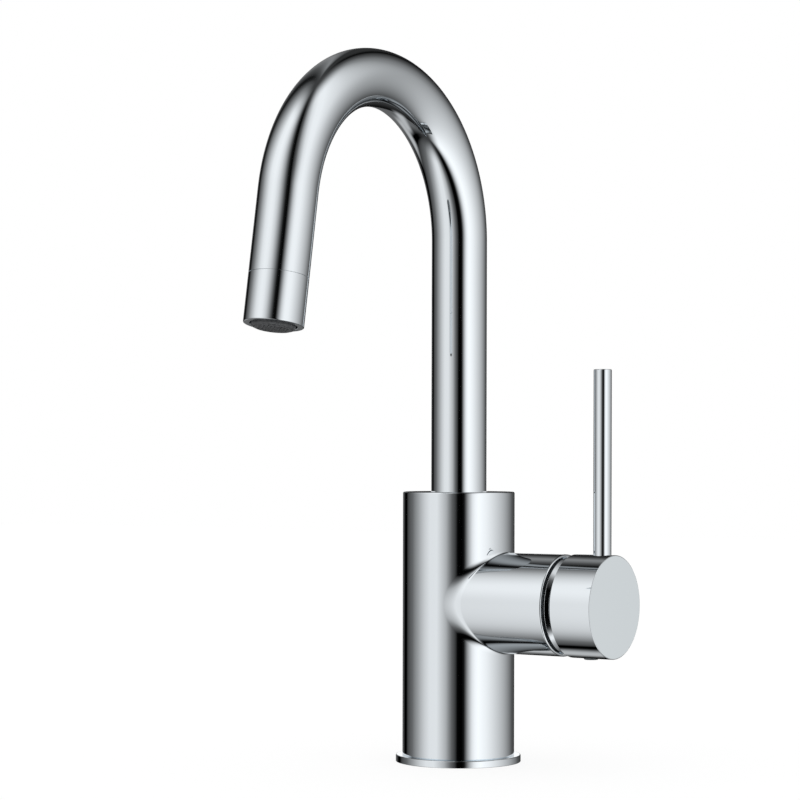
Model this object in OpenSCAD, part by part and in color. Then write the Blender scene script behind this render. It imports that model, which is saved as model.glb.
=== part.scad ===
// Single-lever gooseneck bar faucet, millimetres.
// +Z is up, the spout reaches towards -Y and the valve branch points to +X.
// The origin is on the body axis, in the plane of the deck that the flange rests on.

/* [Base and body] */
// Diameter of the base flange
flange_d = 57; // [54:0.5:64]
// Thickness of the base flange
flange_h = 3.2; // [2.6:0.1:5]
// Diameter of the body
body_d = 51; // [50:0.5:53]
// Height of the body's top above the deck
body_top = 123; // [121:0.5:130]
// Rounding of the body's top edge
body_edge_r = 0.8; // [0.4:0.1:1.5]

/* [Valve branch] */
// Height of the branch axis above the deck
branch_z = 72.9; // [71:0.1:74]
// Diameter of the branch
branch_d = 45.4; // [44.5:0.1:46.5]
// Distance of the branch's end face from the body axis
branch_end = 56.9; // [56.7:0.1:57.2]
// Distance of the lever's pivot from the body axis
pivot_x = 50; // [49.9:0.05:50.1]

/* [Handle] */
// Diameter of the knob
knob_d = 45.8; // [45.6:0.1:47]
// Gap between the branch and the knob
knob_gap = 4.7; // [4.3:0.1:4.8]
// Length of the knob along its axis
knob_len = 19.8; // [19.5:0.1:22]
// Wall of the knob's hollow skirt
skirt_wall = 1; // [0.8:0.1:1.1]
// Diameter of the lever rod
rod_d = 8; // [7:0.1:8.5]
// Distance of the lever rod from the body axis
rod_x = 75; // [74.5:0.1:75.5]
// Height of the lever rod's top above the deck
rod_top = 177.4; // [140:0.1:190]
// Distance of the knob's set screw from the body axis
screw_x = 69.5; // [69.3:0.1:69.9]

/* [Spout] */
// Outer diameter of the spout tube
tube_d = 25.2; // [25.1:0.05:25.3]
// Wall of the spout tube
tube_wall = 1.3; // [1:0.1:1.5]
// Height at which the bend starts
rise = 237; // [180:1:300]
// Centreline radius of the bend
bend_r = 66; // [50:0.5:90]
// Angle that the tube bends through
bend_angle = 170; // [160:1:180]
// Straight length after the bend, down to the outlet
leg = 57; // [45:0.5:90]
// Length of the outlet collar at the end of the leg
collar_len = 20.7; // [18:0.1:26]

/* [Mounting] */
// Outer diameter of the threaded shank
shank_d = 33; // [32.8:0.1:33.1]
// Bore of the shank, for two hoses
shank_bore = 27; // [26.5:0.1:27.6]
// Length of the shank below the deck plane
shank_drop = 62; // [58:1:80]
// Thickness of the deck that is clamped
deck_t = 30; // [10:1:30]
// Radius of a hose port in the body
port_r = 5; // [4.5:0.1:5.2]
// Distance of each hose port from the body axis
port_y = 7; // [6.8:0.1:7.4]

/* [Hidden] */
$fn = 96;

// How far a cutting shape runs past the face that it cuts
over = 1;
// Play between two fixed pieces that fit into each other
snug = 0.05;
// Radial play of a piece that turns in a bore
turn_play = 0.05;
// Play of what slips over the shank
slip = 0.2;

CHROME = "gainsboro";
BRASS = "darkkhaki";
STEEL = "silver";
RUBBER = "dimgray";
NYLON = "ivory";
CERAMIC = "whitesmoke";
PLASTIC = "slategray";

// Derived places, body and branch
body_r = body_d / 2;
branch_r = branch_d / 2;
edge_bevel = 0.4;
seam_chamfer = 0.3;
socket_top = 22;
hose_room_r = 14;
hose_room_top = 40;
port_depth = 14;
riser_x = 4;
riser_y = 8;
riser_r = 3;
swivel_bore_r = tube_d / 2 + 0.3;
swivel_floor = 94;
chamber_r = 4;
set_screw_z = 109.5;
set_screw_r = 2;
grub_socket_r = 1.15;
grub_socket_h = 1.8;

// Seal in the flange, and what clamps the deck from below
base_seal_r = 25;
base_seal_in_r = 22;
base_seal_h = 1.8;
rubber_t = 3;
rubber_r = 28;
washer_t = 1.5;
washer_r = 27;
nut_top = deck_t + rubber_t + washer_t + 3.5;
nut_h = 9;
nut_across = 50;
jack_r = 2.5;
jack_at = 22;
jack_head_r = 4.2;
jack_head_h = 4;

// Derived places along the branch, as distances from the body axis
seat_x = 22;
foot_top = 28.5;
fixed_disc_t = 3;
disc_film = 0.03;
moving_disc_x = foot_top + fixed_disc_t + disc_film;
driver_x = 35;
driver_end = 44;
rotor_x = 44.6;
shoulder_x = 45.5;
nut_end = 53.5;
rotor_end = 54.6;
housing_end = 55;
housing_lip_x = 46.8;
housing_room_r = 14.2;
housing_neck_r = 15;
fixed_disc_r = 13.9;
rotor_flange_r = 13.8;
rotor_flange_t = 2;
rotor_bore_r = 12;
rotor_seal_x = 52.9;
rotor_seal_r = 0.88;
moving_disc_r = 10.8;
driver_r = 9.6;
driver_peg_r = 1.2;
driver_peg_h = 0.7;
driver_peg_at = 5;
cartridge_r = 17.3;
cartridge_bore_r = 17.5;
nut_r = 19.4;
nut_bore_r = 19.5;
counterbore_x = 45;

// Water ports of the cartridge, [up from the branch axis, sideways]
inlet_up = 4.8;
inlet_side = 6.2;
inlet_r = 2.4;
outlet_up = -3.6;
outlet_r = 3.4;
seal_w = 1;
seal_t = 1.3;

// Two pegs that keep the cartridge from turning, [down from the branch axis, sideways]
peg_down = 11;
peg_side = 8;
peg_r = 1.4;
peg_h = 2;

// Moving parts of the cartridge
ball_arm = 9;
ball_x = pivot_x - ball_arm;
ball_r = 3;
stem_r = 4;
stem_neck_r = 2.6;
stem_x = 45.5;
stem_end = 78.2;
pin_r = 1.6;
rotor_r = rotor_bore_r - turn_play;
rotor_slot_w = 8.6;
rotor_slot_h = 12.4;

// Knob
knob_r = knob_d / 2;
knob_x = branch_end + knob_gap;
knob_end = knob_x + knob_len;
skirt_r = knob_r - skirt_wall;
hollow_end = 72.6;
boss_r = 8;
boss_x = 66.9;
rod_seat_r = 17.1;
rod_pad_r = 9;
rod_pad_wall = 1.5;
rod_edge = 0.4;
stud_r = 2.5;
stud_foot_r = 9.6;
stud_grip = 11;
hub_screw_r = 2;
plug_r = 2.6;
plug_rim_r = 3.3;
plug_proud = 0.5;

// Neck ring: a narrow groove beside the branch, then a cone that falls away towards the knob,
// which leaves the skirt room to tilt
neck_groove_w = 1.6;
neck_groove_r = 20.3;
neck_cone_r = 21;
neck_cone_lean = 34;
neck_front = 63.6;
neck_hole_r = 14.6;
neck_bore_r = 17.4;

// Spout
tube_r = tube_d / 2;
tube_bore_r = tube_r - tube_wall;
tube_foot = 117;
sleeve_r = tube_r - 0.2;
sleeve_bore_r = 9.3;
sleeve_spigot = 12;
outlet_y = -bend_r * (1 - cos(bend_angle)) - leg * sin(bend_angle);
outlet_z = rise + bend_r * sin(bend_angle) + leg * cos(bend_angle);
leg_lean = 180 - bend_angle;
mouth_r = 9.95;
aerator_seat = 13;
water_way_r = 7.5;
grid_r = 8;
grid_h = 2.8;
grid_proud = 1.6;
restrictor_z = 9;
restrictor_r = 8.4;
strainer_z = 12;

// The leg is thinner than the bend by this radius and starts this far inside it, so that the
// two always join in one clean ring
leg_step = 0.02;
leg_lap = 0.3;

// Heights of the swivel's seals, and the lower edges of its glide rings
seal_z = [100.6, 104.4];
glide_z = [95.5, 113.2];
glide_h = 2.8;
swivel_seal_r = 1.2;
keeper_w = 5;

// Local +Z runs along the branch, away from the body; local +X points down
module on_branch(x = 0) {
    translate([x, 0, branch_z])
        rotate([0, 90, 0])
            children();
}

// Local +Z runs up the outlet leg, from the middle of the outlet
module at_outlet(up = 0) {
    translate([0, outlet_y, outlet_z])
        rotate([-leg_lean, 0, 0])
            translate([0, 0, up])
                children();
}

module ring(r_out, r_in, h) {
    difference() {
        cylinder(r = r_out, h = h);
        translate([0, 0, -over])
            cylinder(r = r_in, h = h + 2 * over);
    }
}

module o_ring(r_out, r_section) {
    rotate_extrude()
        translate([r_out - r_section, 0])
            circle(r = r_section, $fn = 32);
}

// Places children at each water port of the cartridge, [radius] in $port_r
module at_ports() {
    for (side = [-1, 1]) {
        $port_r = inlet_r;
        translate([-inlet_up, side * inlet_side, 0])
            children();
    }
    $port_r = outlet_r;
    translate([-outlet_up, 0, 0])
        children();
}

// ---------- body, flange and mounting ----------

module body_blank() {
    r = body_edge_r;
    arc = [for (a = [0 : 15 : 90]) [body_r - r + r * cos(a), body_top - r + r * sin(a)]];
    rotate_extrude()
        polygon(concat(
            [[0, flange_h], [body_r - seam_chamfer, flange_h], [body_r, flange_h + seam_chamfer]],
            arc,
            [[0, body_top]]
        ));
    on_branch()
        rotate_extrude()
            polygon([
                [0, 0], [branch_r, 0], [branch_r, branch_end - edge_bevel],
                [branch_r - edge_bevel, branch_end], [0, branch_end]
            ]);
}

module water_ways() {
    for (side = [-1, 1]) {
        translate([0, side * port_y, hose_room_top - over])
            cylinder(r = port_r, h = port_depth + over);
        translate([riser_x, side * riser_y, hose_room_top + port_depth - over])
            cylinder(r = riser_r, h = branch_z + inlet_up + inlet_r - hose_room_top - port_depth + over);
        on_branch(riser_x)
            translate([-inlet_up, side * inlet_side, 0])
                cylinder(r = inlet_r, h = seat_x - riser_x + over);
    }
    on_branch()
        translate([-outlet_up, 0, 0])
            cylinder(r = outlet_r, h = seat_x + over);
    translate([0, 0, branch_z + outlet_up - outlet_r])
        cylinder(r = chamber_r, h = swivel_floor - branch_z - outlet_up + outlet_r + over);
}

module faucet_body() {
    color(CHROME)
        difference() {
            body_blank();
            water_ways();
            translate([0, 0, swivel_floor])
                cylinder(r = swivel_bore_r, h = body_top - swivel_floor + over);
            translate([0, 0, flange_h - over])
                cylinder(r = shank_d / 2 + snug, h = socket_top - flange_h + over);
            translate([0, 0, socket_top - over])
                cylinder(r = hose_room_r, h = hose_room_top - socket_top + over);
            on_branch(seat_x)
                cylinder(r = cartridge_bore_r, h = branch_end - seat_x);
            on_branch(counterbore_x)
                cylinder(r = nut_bore_r, h = branch_end - counterbore_x + over);
            on_branch(seat_x)
                foot_pegs(peg_r + 0.1, peg_h + 0.2);
            translate([0, 0, set_screw_z])
                rotate([-90, 0, 0])
                    cylinder(r = set_screw_r, h = body_r + over);
        }
}

module base_flange() {
    c = seam_chamfer;
    r = flange_d / 2;
    color(CHROME)
        difference() {
            rotate_extrude()
                polygon([
                    [shank_d / 2 + slip, 0], [r - c, 0], [r, c],
                    [r, flange_h - c], [r - c, flange_h], [shank_d / 2 + slip, flange_h]
                ]);
            translate([0, 0, -over])
                ring(base_seal_r, base_seal_in_r, base_seal_h + over);
        }
}

module base_seal() {
    color(RUBBER)
        ring(base_seal_r - snug, base_seal_in_r + snug, base_seal_h - snug);
}

module mounting_shank() {
    c = 1;
    r = shank_d / 2;
    top = socket_top - 0.5;
    color(BRASS)
        rotate_extrude()
            polygon([
                [shank_bore / 2, -shank_drop], [r - c, -shank_drop], [r, c - shank_drop],
                [r, top - c], [r - c, top], [shank_bore / 2, top]
            ]);
}

module rubber_washer() {
    color(RUBBER)
        translate([0, 0, -deck_t - rubber_t])
            ring(rubber_r, shank_d / 2 + slip, rubber_t);
}

module steel_washer() {
    color(STEEL)
        translate([0, 0, -deck_t - rubber_t - washer_t])
            ring(washer_r, shank_d / 2 + slip, washer_t);
}

module mounting_nut() {
    color(BRASS)
        translate([0, 0, -nut_top - nut_h])
            difference() {
                intersection() {
                    cylinder(r = nut_across / 2 / cos(30), h = nut_h, $fn = 6);
                    cylinder(r1 = nut_across / 2, r2 = nut_across / 2 + nut_h, h = nut_h);
                }
                translate([0, 0, -over])
                    cylinder(r = shank_d / 2 + snug, h = nut_h + 2 * over);
                for (side = [-1, 1])
                    translate([side * jack_at, 0, -over])
                        cylinder(r = jack_r + snug, h = nut_h + 2 * over);
            }
}

module clamp_screws() {
    tip = -deck_t - rubber_t - washer_t;
    head = -nut_top - nut_h - 3;
    socket_r = 2.3;
    socket_h = 2.2;
    color(STEEL)
        for (side = [-1, 1])
            translate([side * jack_at, 0, head - jack_head_h])
                difference() {
                    union() {
                        cylinder(r = jack_head_r, h = jack_head_h);
                        cylinder(r = jack_r, h = tip - head + jack_head_h);
                    }
                    translate([0, 0, -over])
                        cylinder(r = socket_r, h = socket_h + over, $fn = 6);
                }
}

module spout_set_screw() {
    tip_y = sleeve_r - 0.8;
    tip_r = 1.4;
    tip_h = 1.6;
    screw_l = body_r - 1 - tip_y;
    color(STEEL)
        translate([0, tip_y, set_screw_z])
            rotate([-90, 0, 0])
                difference() {
                    union() {
                        cylinder(r = tip_r, h = tip_h + over);
                        translate([0, 0, tip_h])
                            cylinder(r = set_screw_r - snug, h = screw_l - tip_h);
                    }
                    translate([0, 0, screw_l - grub_socket_h])
                        cylinder(r = grub_socket_r, h = grub_socket_h + over, $fn = 6);
                }
}

// ---------- cartridge ----------

module foot_pegs(r, h) {
    for (side = [-1, 1])
        translate([peg_down, side * peg_side, -h])
            cylinder(r = r, h = h + over);
}

module cartridge_foot() {
    color(PLASTIC)
        on_branch(seat_x)
            difference() {
                union() {
                    cylinder(r = cartridge_r, h = foot_top - seat_x);
                    foot_pegs(peg_r, peg_h);
                }
                at_ports()
                    translate([0, 0, -over])
                        cylinder(r = $port_r, h = foot_top - seat_x + 2 * over);
                at_ports()
                    translate([0, 0, -over])
                        cylinder(r = $port_r + seal_w + snug, h = seal_t + over);
                at_ports()
                    translate([0, 0, foot_top - seat_x - seal_t])
                        cylinder(r = $port_r + seal_w + snug, h = seal_t + over);
            }
}

module port_seals(x) {
    color(RUBBER)
        on_branch(x)
            at_ports()
                ring($port_r + seal_w, $port_r, seal_t);
}

module foot_seals() {
    port_seals(seat_x);
}

module disc_seals() {
    port_seals(foot_top - seal_t);
}

module fixed_disc() {
    color(CERAMIC)
        on_branch(foot_top)
            difference() {
                cylinder(r = fixed_disc_r, h = fixed_disc_t);
                at_ports()
                    translate([0, 0, -over])
                        cylinder(r = $port_r, h = fixed_disc_t + 2 * over);
            }
}

module cartridge_housing() {
    color(PLASTIC)
        on_branch()
            rotate_extrude()
                polygon([
                    [housing_room_r, foot_top], [cartridge_r, foot_top], [cartridge_r, shoulder_x],
                    [housing_neck_r, shoulder_x], [housing_neck_r, housing_end],
                    [rotor_bore_r, housing_end], [rotor_bore_r, housing_lip_x],
                    [housing_room_r, housing_lip_x]
                ]);
}

module cartridge_nut() {
    slot_w = 4;
    slot_h = 2.5;
    color(BRASS)
        on_branch(shoulder_x)
            difference() {
                ring(nut_r, housing_neck_r + slip, nut_end - shoulder_x);
                for (turn = [0 : 90 : 270])
                    rotate([0, 0, turn])
                        translate([housing_neck_r - over, -slot_w / 2, nut_end - shoulder_x - slot_h])
                            cube([nut_r - housing_neck_r + 2 * over, slot_w, slot_h + over]);
            }
}

module neck_ring() {
    cone_x = branch_end + neck_groove_w;
    front_r = neck_cone_r - (neck_front - cone_x) * tan(neck_cone_lean);
    color(CHROME)
        on_branch()
            rotate_extrude()
                polygon([
                    [neck_bore_r, nut_end + 0.1], [nut_r, nut_end + 0.1], [nut_r, branch_end],
                    [neck_groove_r, branch_end], [neck_groove_r, cone_x], [neck_cone_r, cone_x],
                    [front_r, neck_front], [neck_hole_r, neck_front],
                    [neck_hole_r, neck_front - 1.5], [neck_bore_r, 58]
                ]);
}

module rotor() {
    lug_w = 2.6;
    lug_h = 4;
    lug_l = 2.4;
    lug_y = 7.5;
    groove_w = 1.9;
    groove_r = 10.2;
    color(NYLON)
        difference() {
            union() {
                on_branch(rotor_x)
                    cylinder(r = rotor_flange_r, h = rotor_flange_t);
                on_branch(rotor_x)
                    cylinder(r = rotor_r, h = rotor_end - rotor_x);
                for (side = [-1, 1])
                    translate([rotor_x - lug_l, side * lug_y - lug_w / 2, branch_z - lug_h / 2])
                        cube([lug_l + 0.5, lug_w, lug_h]);
            }
            translate([rotor_x - 4, -rotor_slot_w / 2, branch_z - rotor_slot_h / 2])
                cube([rotor_end - rotor_x + 8, rotor_slot_w, rotor_slot_h]);
            translate([pivot_x, -20, branch_z])
                rotate([-90, 0, 0])
                    cylinder(r = pin_r + 0.02, h = 40);
            on_branch(rotor_seal_x - groove_w / 2)
                ring(rotor_r + over, groove_r, groove_w);
        }
}

module rotor_seal() {
    color(RUBBER)
        on_branch(rotor_seal_x)
            o_ring(rotor_bore_r - 0.02, rotor_seal_r);
}

module pivot_pin() {
    pin_l = 22.4;
    color(STEEL)
        translate([pivot_x, -pin_l / 2, branch_z])
            rotate([-90, 0, 0])
                cylinder(r = pin_r, h = pin_l);
}

module moving_disc() {
    cavity_top = 1.6;
    cavity_h = 8.8;
    cavity_r = 8.8;
    cavity_depth = 2.2;
    color(CERAMIC)
        difference() {
            on_branch(moving_disc_x)
                cylinder(r = moving_disc_r, h = driver_x - moving_disc_x);
            intersection() {
                on_branch(moving_disc_x - over)
                    cylinder(r = cavity_r, h = cavity_depth + over);
                translate([moving_disc_x - over, -moving_disc_r, branch_z + cavity_top - cavity_h])
                    cube([cavity_depth + over, 2 * moving_disc_r, cavity_h]);
            }
            on_branch(driver_x)
                driver_pegs(driver_peg_r + snug, driver_peg_h + 0.1);
        }
}

module driver_pegs(r, h) {
    for (side = [-1, 1])
        translate([-driver_peg_at, side * driver_peg_at, -h])
            cylinder(r = r, h = h + over);
}

// Carries the moving disc: the lever's ball sits in its bore, the rotor's lugs in its side steps
module disc_driver() {
    lug_step = 5.9;
    step_h = 2.1;
    bore_r = ball_r + 0.4;
    mouth_r = 5.2;
    color(NYLON)
        difference() {
            union() {
                on_branch(driver_x)
                    cylinder(r = driver_r, h = driver_end - driver_x);
                on_branch(driver_x)
                    driver_pegs(driver_peg_r, driver_peg_h);
            }
            on_branch(ball_x - ball_r - 0.6)
                cylinder(r = bore_r, h = 20);
            on_branch(ball_x + 0.6)
                cylinder(r1 = bore_r, r2 = mouth_r, h = driver_end - ball_x - 0.6);
            for (side = [-1, 1])
                translate([
                    driver_end - step_h, side > 0 ? lug_step : -lug_step - driver_r,
                    branch_z - driver_r
                ])
                    cube([step_h + over, driver_r, 2 * driver_r]);
        }
}

module lever_stem() {
    color(STEEL)
        difference() {
            union() {
                on_branch(ball_x)
                    sphere(r = ball_r);
                on_branch(ball_x)
                    cylinder(r = stem_neck_r, h = stem_x - ball_x + over);
                on_branch(stem_x)
                    cylinder(r = stem_r, h = stem_end - stem_x);
            }
            translate([pivot_x, -10, branch_z])
                rotate([-90, 0, 0])
                    cylinder(r = pin_r + turn_play, h = 20);
        }
}

// ---------- knob and lever rod ----------

module hub_blank() {
    c = edge_bevel;
    on_branch()
        difference() {
            rotate_extrude()
                polygon([
                    [0, knob_x], [knob_r - seam_chamfer, knob_x], [knob_r, knob_x + seam_chamfer],
                    [knob_r, knob_end - c], [knob_r - c, knob_end], [0, knob_end]
                ]);
            translate([0, 0, knob_x - over])
                cylinder(r = skirt_r, h = hollow_end - knob_x + over);
        }
    on_branch(boss_x)
        cylinder(r = boss_r, h = hollow_end - boss_x + over);
    // Pad inside the skirt that the rod is seated in
    intersection() {
        translate([rod_x, 0, branch_z + rod_pad_r])
            cylinder(r = rod_d / 2 + rod_pad_wall, h = knob_r);
        on_branch(knob_x + 5)
            cylinder(r = knob_r - skirt_wall / 2, h = knob_len - 5 - over);
    }
}

module handle_hub() {
    color(CHROME)
        difference() {
            hub_blank();
            on_branch(boss_x - over)
                cylinder(r = stem_r + snug, h = stem_end + 0.1 - boss_x + over);
            translate([rod_x, 0, branch_z + rod_seat_r])
                cylinder(r = rod_d / 2 + snug, h = knob_r);
            translate([rod_x, 0, branch_z + stud_foot_r - 0.2])
                cylinder(r = stud_r + snug, h = rod_seat_r - stud_foot_r + over);
            translate([screw_x, 0, branch_z - knob_r - over])
                cylinder(r = plug_r + snug, h = 6);
            translate([screw_x, 0, branch_z - boss_r - over])
                cylinder(r = hub_screw_r + snug, h = boss_r);
        }
}

module lever_rod() {
    r = rod_d / 2;
    foot = branch_z + rod_seat_r;
    color(CHROME)
        translate([rod_x, 0, 0])
            difference() {
                rotate_extrude()
                    polygon([
                        [0, foot], [r, foot], [r, rod_top - rod_edge], [r - rod_edge, rod_top], [0, rod_top]
                    ]);
                translate([0, 0, foot - over])
                    cylinder(r = stud_r + snug, h = stud_grip + 2 * over);
            }
}

module rod_stud() {
    color(STEEL)
        translate([rod_x, 0, branch_z + stud_foot_r])
            cylinder(r = stud_r, h = rod_seat_r - stud_foot_r + stud_grip);
}

module hub_set_screw() {
    color(STEEL)
        translate([screw_x, 0, branch_z - boss_r])
            difference() {
                cylinder(r = hub_screw_r, h = boss_r - stem_r - 0.02);
                translate([0, 0, -over])
                    cylinder(r = grub_socket_r, h = grub_socket_h + over, $fn = 6);
            }
}

module set_screw_plug() {
    rim_lap = 0.6;
    plug_h = 2.2;
    color(RUBBER) {
        difference() {
            union() {
                translate([screw_x, 0, branch_z - knob_r - plug_proud])
                    cylinder(r1 = plug_rim_r - 0.4, r2 = plug_rim_r, h = plug_proud);
                translate([screw_x, 0, branch_z - knob_r])
                    cylinder(r = plug_rim_r, h = rim_lap);
            }
            on_branch(knob_x)
                cylinder(r = knob_r + 0.01, h = knob_len);
        }
        translate([screw_x, 0, branch_z - knob_r - 0.1])
            cylinder(r = plug_r, h = plug_h);
    }
}

// ---------- spout ----------

// The spout's centreline swept with a round section, from the height foot to the leg's end.
// Each straight is turned about itself, so that its section starts at the same point as the bend's.
module gooseneck(r, foot, leg_end) {
    translate([0, 0, foot])
        rotate([0, 0, 90])
            cylinder(r = r, h = rise - foot);
    translate([0, -bend_r, rise])
        rotate([90, 0, 90])
            rotate_extrude(angle = bend_angle, $fn = 180)
                translate([bend_r, 0])
                    circle(r = r);
    at_outlet(leg_end)
        rotate([0, 0, -90])
            cylinder(r = r - leg_step, h = leg - leg_end + leg_lap);
}

module spout_tube() {
    color(CHROME)
        difference() {
            gooseneck(tube_r, tube_foot, collar_len);
            gooseneck(tube_bore_r, tube_foot - over, collar_len - over);
        }
}

module swivel_sleeve() {
    foot = swivel_floor + 0.05;
    color(BRASS)
        difference() {
            union() {
                translate([0, 0, foot])
                    cylinder(r = sleeve_r, h = tube_foot - foot);
                translate([0, 0, tube_foot - over])
                    cylinder(r = tube_bore_r - snug, h = sleeve_spigot + over);
            }
            translate([0, 0, foot - over])
                cylinder(r = sleeve_bore_r, h = 50);
            for (z = seal_z)
                translate([0, 0, z - swivel_seal_r - 0.1])
                    ring(sleeve_r + over, sleeve_r - 1.95, 2 * swivel_seal_r + 0.2);
            for (z = glide_z)
                translate([0, 0, z])
                    ring(sleeve_r + over, sleeve_r - 1, glide_h);
            translate([0, 0, set_screw_z - keeper_w / 2])
                ring(sleeve_r + over, sleeve_r - 1.2, keeper_w);
        }
}

module swivel_seals() {
    color(RUBBER)
        for (z = seal_z)
            translate([0, 0, z])
                o_ring(swivel_bore_r - turn_play, swivel_seal_r);
}

module glide_rings() {
    color(NYLON)
        for (z = glide_z)
            translate([0, 0, z + 0.1])
                ring(swivel_bore_r - turn_play, sleeve_r - 1 + snug, glide_h - 0.2);
}

module outlet_collar() {
    spigot = 9;
    c = 0.25;
    color(CHROME)
        at_outlet()
            rotate_extrude()
                polygon([
                    [mouth_r, c], [mouth_r + c, 0], [tube_r - edge_bevel, 0], [tube_r, edge_bevel],
                    [tube_r, collar_len - c], [tube_r - c, collar_len], [tube_bore_r - snug, collar_len],
                    [tube_bore_r - snug, collar_len + spigot], [water_way_r, collar_len + spigot],
                    [water_way_r, aerator_seat], [mouth_r, aerator_seat]
                ]);
}

// The aerator: a threaded housing that ends in a narrower snout below the collar's rim
module aerator_housing() {
    snout_r = 9.15;
    snout_proud = 1.3;
    thread_r = mouth_r - snug;
    color(PLASTIC)
        at_outlet()
            rotate_extrude()
                polygon([
                    [grid_r, -snout_proud], [snout_r - 0.6, -snout_proud], [snout_r, 0.6 - snout_proud],
                    [snout_r, 3], [thread_r, 3.6],
                    [thread_r, strainer_z], [restrictor_r, strainer_z], [restrictor_r, restrictor_z],
                    [7.2, restrictor_z], [7.2, grid_h - grid_proud], [grid_r, grid_h - grid_proud]
                ]);
}

module aerator_grid() {
    pitch = 2;
    hole = 1.3;
    reach = 6.4;
    count = floor(reach / pitch);
    color(PLASTIC)
        at_outlet(-grid_proud)
            difference() {
                cylinder(r = grid_r - snug, h = grid_h);
                for (i = [-count : count])
                    for (j = [-count : count])
                        if (norm([i, j]) * pitch < reach)
                            translate([i * pitch - hole / 2, j * pitch - hole / 2, -over])
                                cube([hole, hole, grid_h + 2 * over]);
            }
}

module flow_restrictor() {
    h = strainer_z - restrictor_z;
    color(NYLON)
        at_outlet(restrictor_z)
            difference() {
                cylinder(r = restrictor_r - snug, h = h);
                for (turn = [0 : 45 : 315])
                    rotate([0, 0, turn])
                        translate([5, 0, -over])
                            cylinder(r = 0.9, h = h + 2 * over);
            }
}

module aerator_washer() {
    color(RUBBER)
        at_outlet(strainer_z)
            ring(mouth_r - snug, water_way_r, aerator_seat - strainer_z);
}

module inlet_strainer() {
    rim_h = 0.8;
    cone_h = 5;
    color(NYLON)
        at_outlet(strainer_z)
            difference() {
                union() {
                    cylinder(r = water_way_r - snug, h = rim_h);
                    cylinder(r1 = 6.5, r2 = 2.5, h = cone_h);
                }
                translate([0, 0, -over])
                    cylinder(r1 = 5.9, r2 = 1.9, h = cone_h);
                for (turn = [0 : 60 : 300])
                    rotate([0, 0, turn])
                        translate([2.4, -0.5, 1.4])
                            cube([5, 1, 1.8]);
            }
}

faucet_body();
base_flange();
base_seal();
mounting_shank();
rubber_washer();
steel_washer();
mounting_nut();
clamp_screws();
spout_set_screw();
cartridge_foot();
foot_seals();
disc_seals();
fixed_disc();
cartridge_housing();
cartridge_nut();
neck_ring();
rotor();
rotor_seal();
pivot_pin();
moving_disc();
disc_driver();
lever_stem();
handle_hub();
lever_rod();
rod_stud();
hub_set_screw();
set_screw_plug();
spout_tube();
swivel_sleeve();
swivel_seals();
glide_rings();
outlet_collar();
aerator_housing();
aerator_grid();
flow_restrictor();
inlet_strainer();
aerator_washer();
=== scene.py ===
"""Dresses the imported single-lever gooseneck bar faucet: its chrome pieces, the hardware under the
deck, the finishes of every solid, and the studio that it stands in."""

import math

import bmesh
import bpy
from bpy.props import FloatProperty, FloatVectorProperty, IntProperty, PointerProperty
from mathutils import Matrix, Vector


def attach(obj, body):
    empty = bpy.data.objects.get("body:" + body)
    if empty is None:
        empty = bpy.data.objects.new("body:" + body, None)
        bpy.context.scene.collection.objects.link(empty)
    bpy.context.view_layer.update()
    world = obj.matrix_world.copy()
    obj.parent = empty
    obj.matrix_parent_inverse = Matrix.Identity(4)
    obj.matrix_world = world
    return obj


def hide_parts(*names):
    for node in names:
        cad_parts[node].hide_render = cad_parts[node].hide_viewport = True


bl_info = {
    "name": "Gooseneck Bar Faucet",
    "version": (1, 0, 0),
    "blender": (4, 5, 0),
    "location": "View3D > Sidebar > Faucet",
    "description": "Models a single-lever gooseneck bar faucet piece by piece",
    "category": "Add Mesh",
}

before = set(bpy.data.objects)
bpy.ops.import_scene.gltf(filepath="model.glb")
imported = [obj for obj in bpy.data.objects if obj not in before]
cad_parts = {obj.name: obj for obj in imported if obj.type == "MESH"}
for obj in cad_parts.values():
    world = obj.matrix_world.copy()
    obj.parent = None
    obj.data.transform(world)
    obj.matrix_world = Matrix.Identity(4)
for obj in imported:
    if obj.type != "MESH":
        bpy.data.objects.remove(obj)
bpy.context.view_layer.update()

MM = 0.001
UP = Vector((0, 0, 1))
# The branch runs to +X at this height, the spout's outlet looks down along the leaning leg
BRANCH = Vector((0, 0, 72.9)) * MM
ALONG = Vector((1, 0, 0))
BEND = math.radians(170)
BEND_R = 66.0
RISE = 237.0
LEG = 57.0
LEG_UP = Vector((0, math.sin(math.pi - BEND), math.cos(math.pi - BEND)))
OUTLET = (
    Vector(
        (
            0,
            -BEND_R * (1 - math.cos(BEND)) - LEG * math.sin(BEND),
            RISE + BEND_R * math.sin(BEND) + LEG * math.cos(BEND),
        )
    )
    * MM
)


def distance(name, text, millimetres):
    return FloatProperty(
        name=name,
        description=text,
        default=millimetres * MM,
        min=0.1 * MM,
        max=400 * MM,
        unit="LENGTH",
        subtype="DISTANCE",
        precision=4,
    )


def tint(name, text, colour):
    return FloatVectorProperty(
        name=name, description=text, default=colour, size=3, min=0, max=1, subtype="COLOR"
    )


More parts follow.
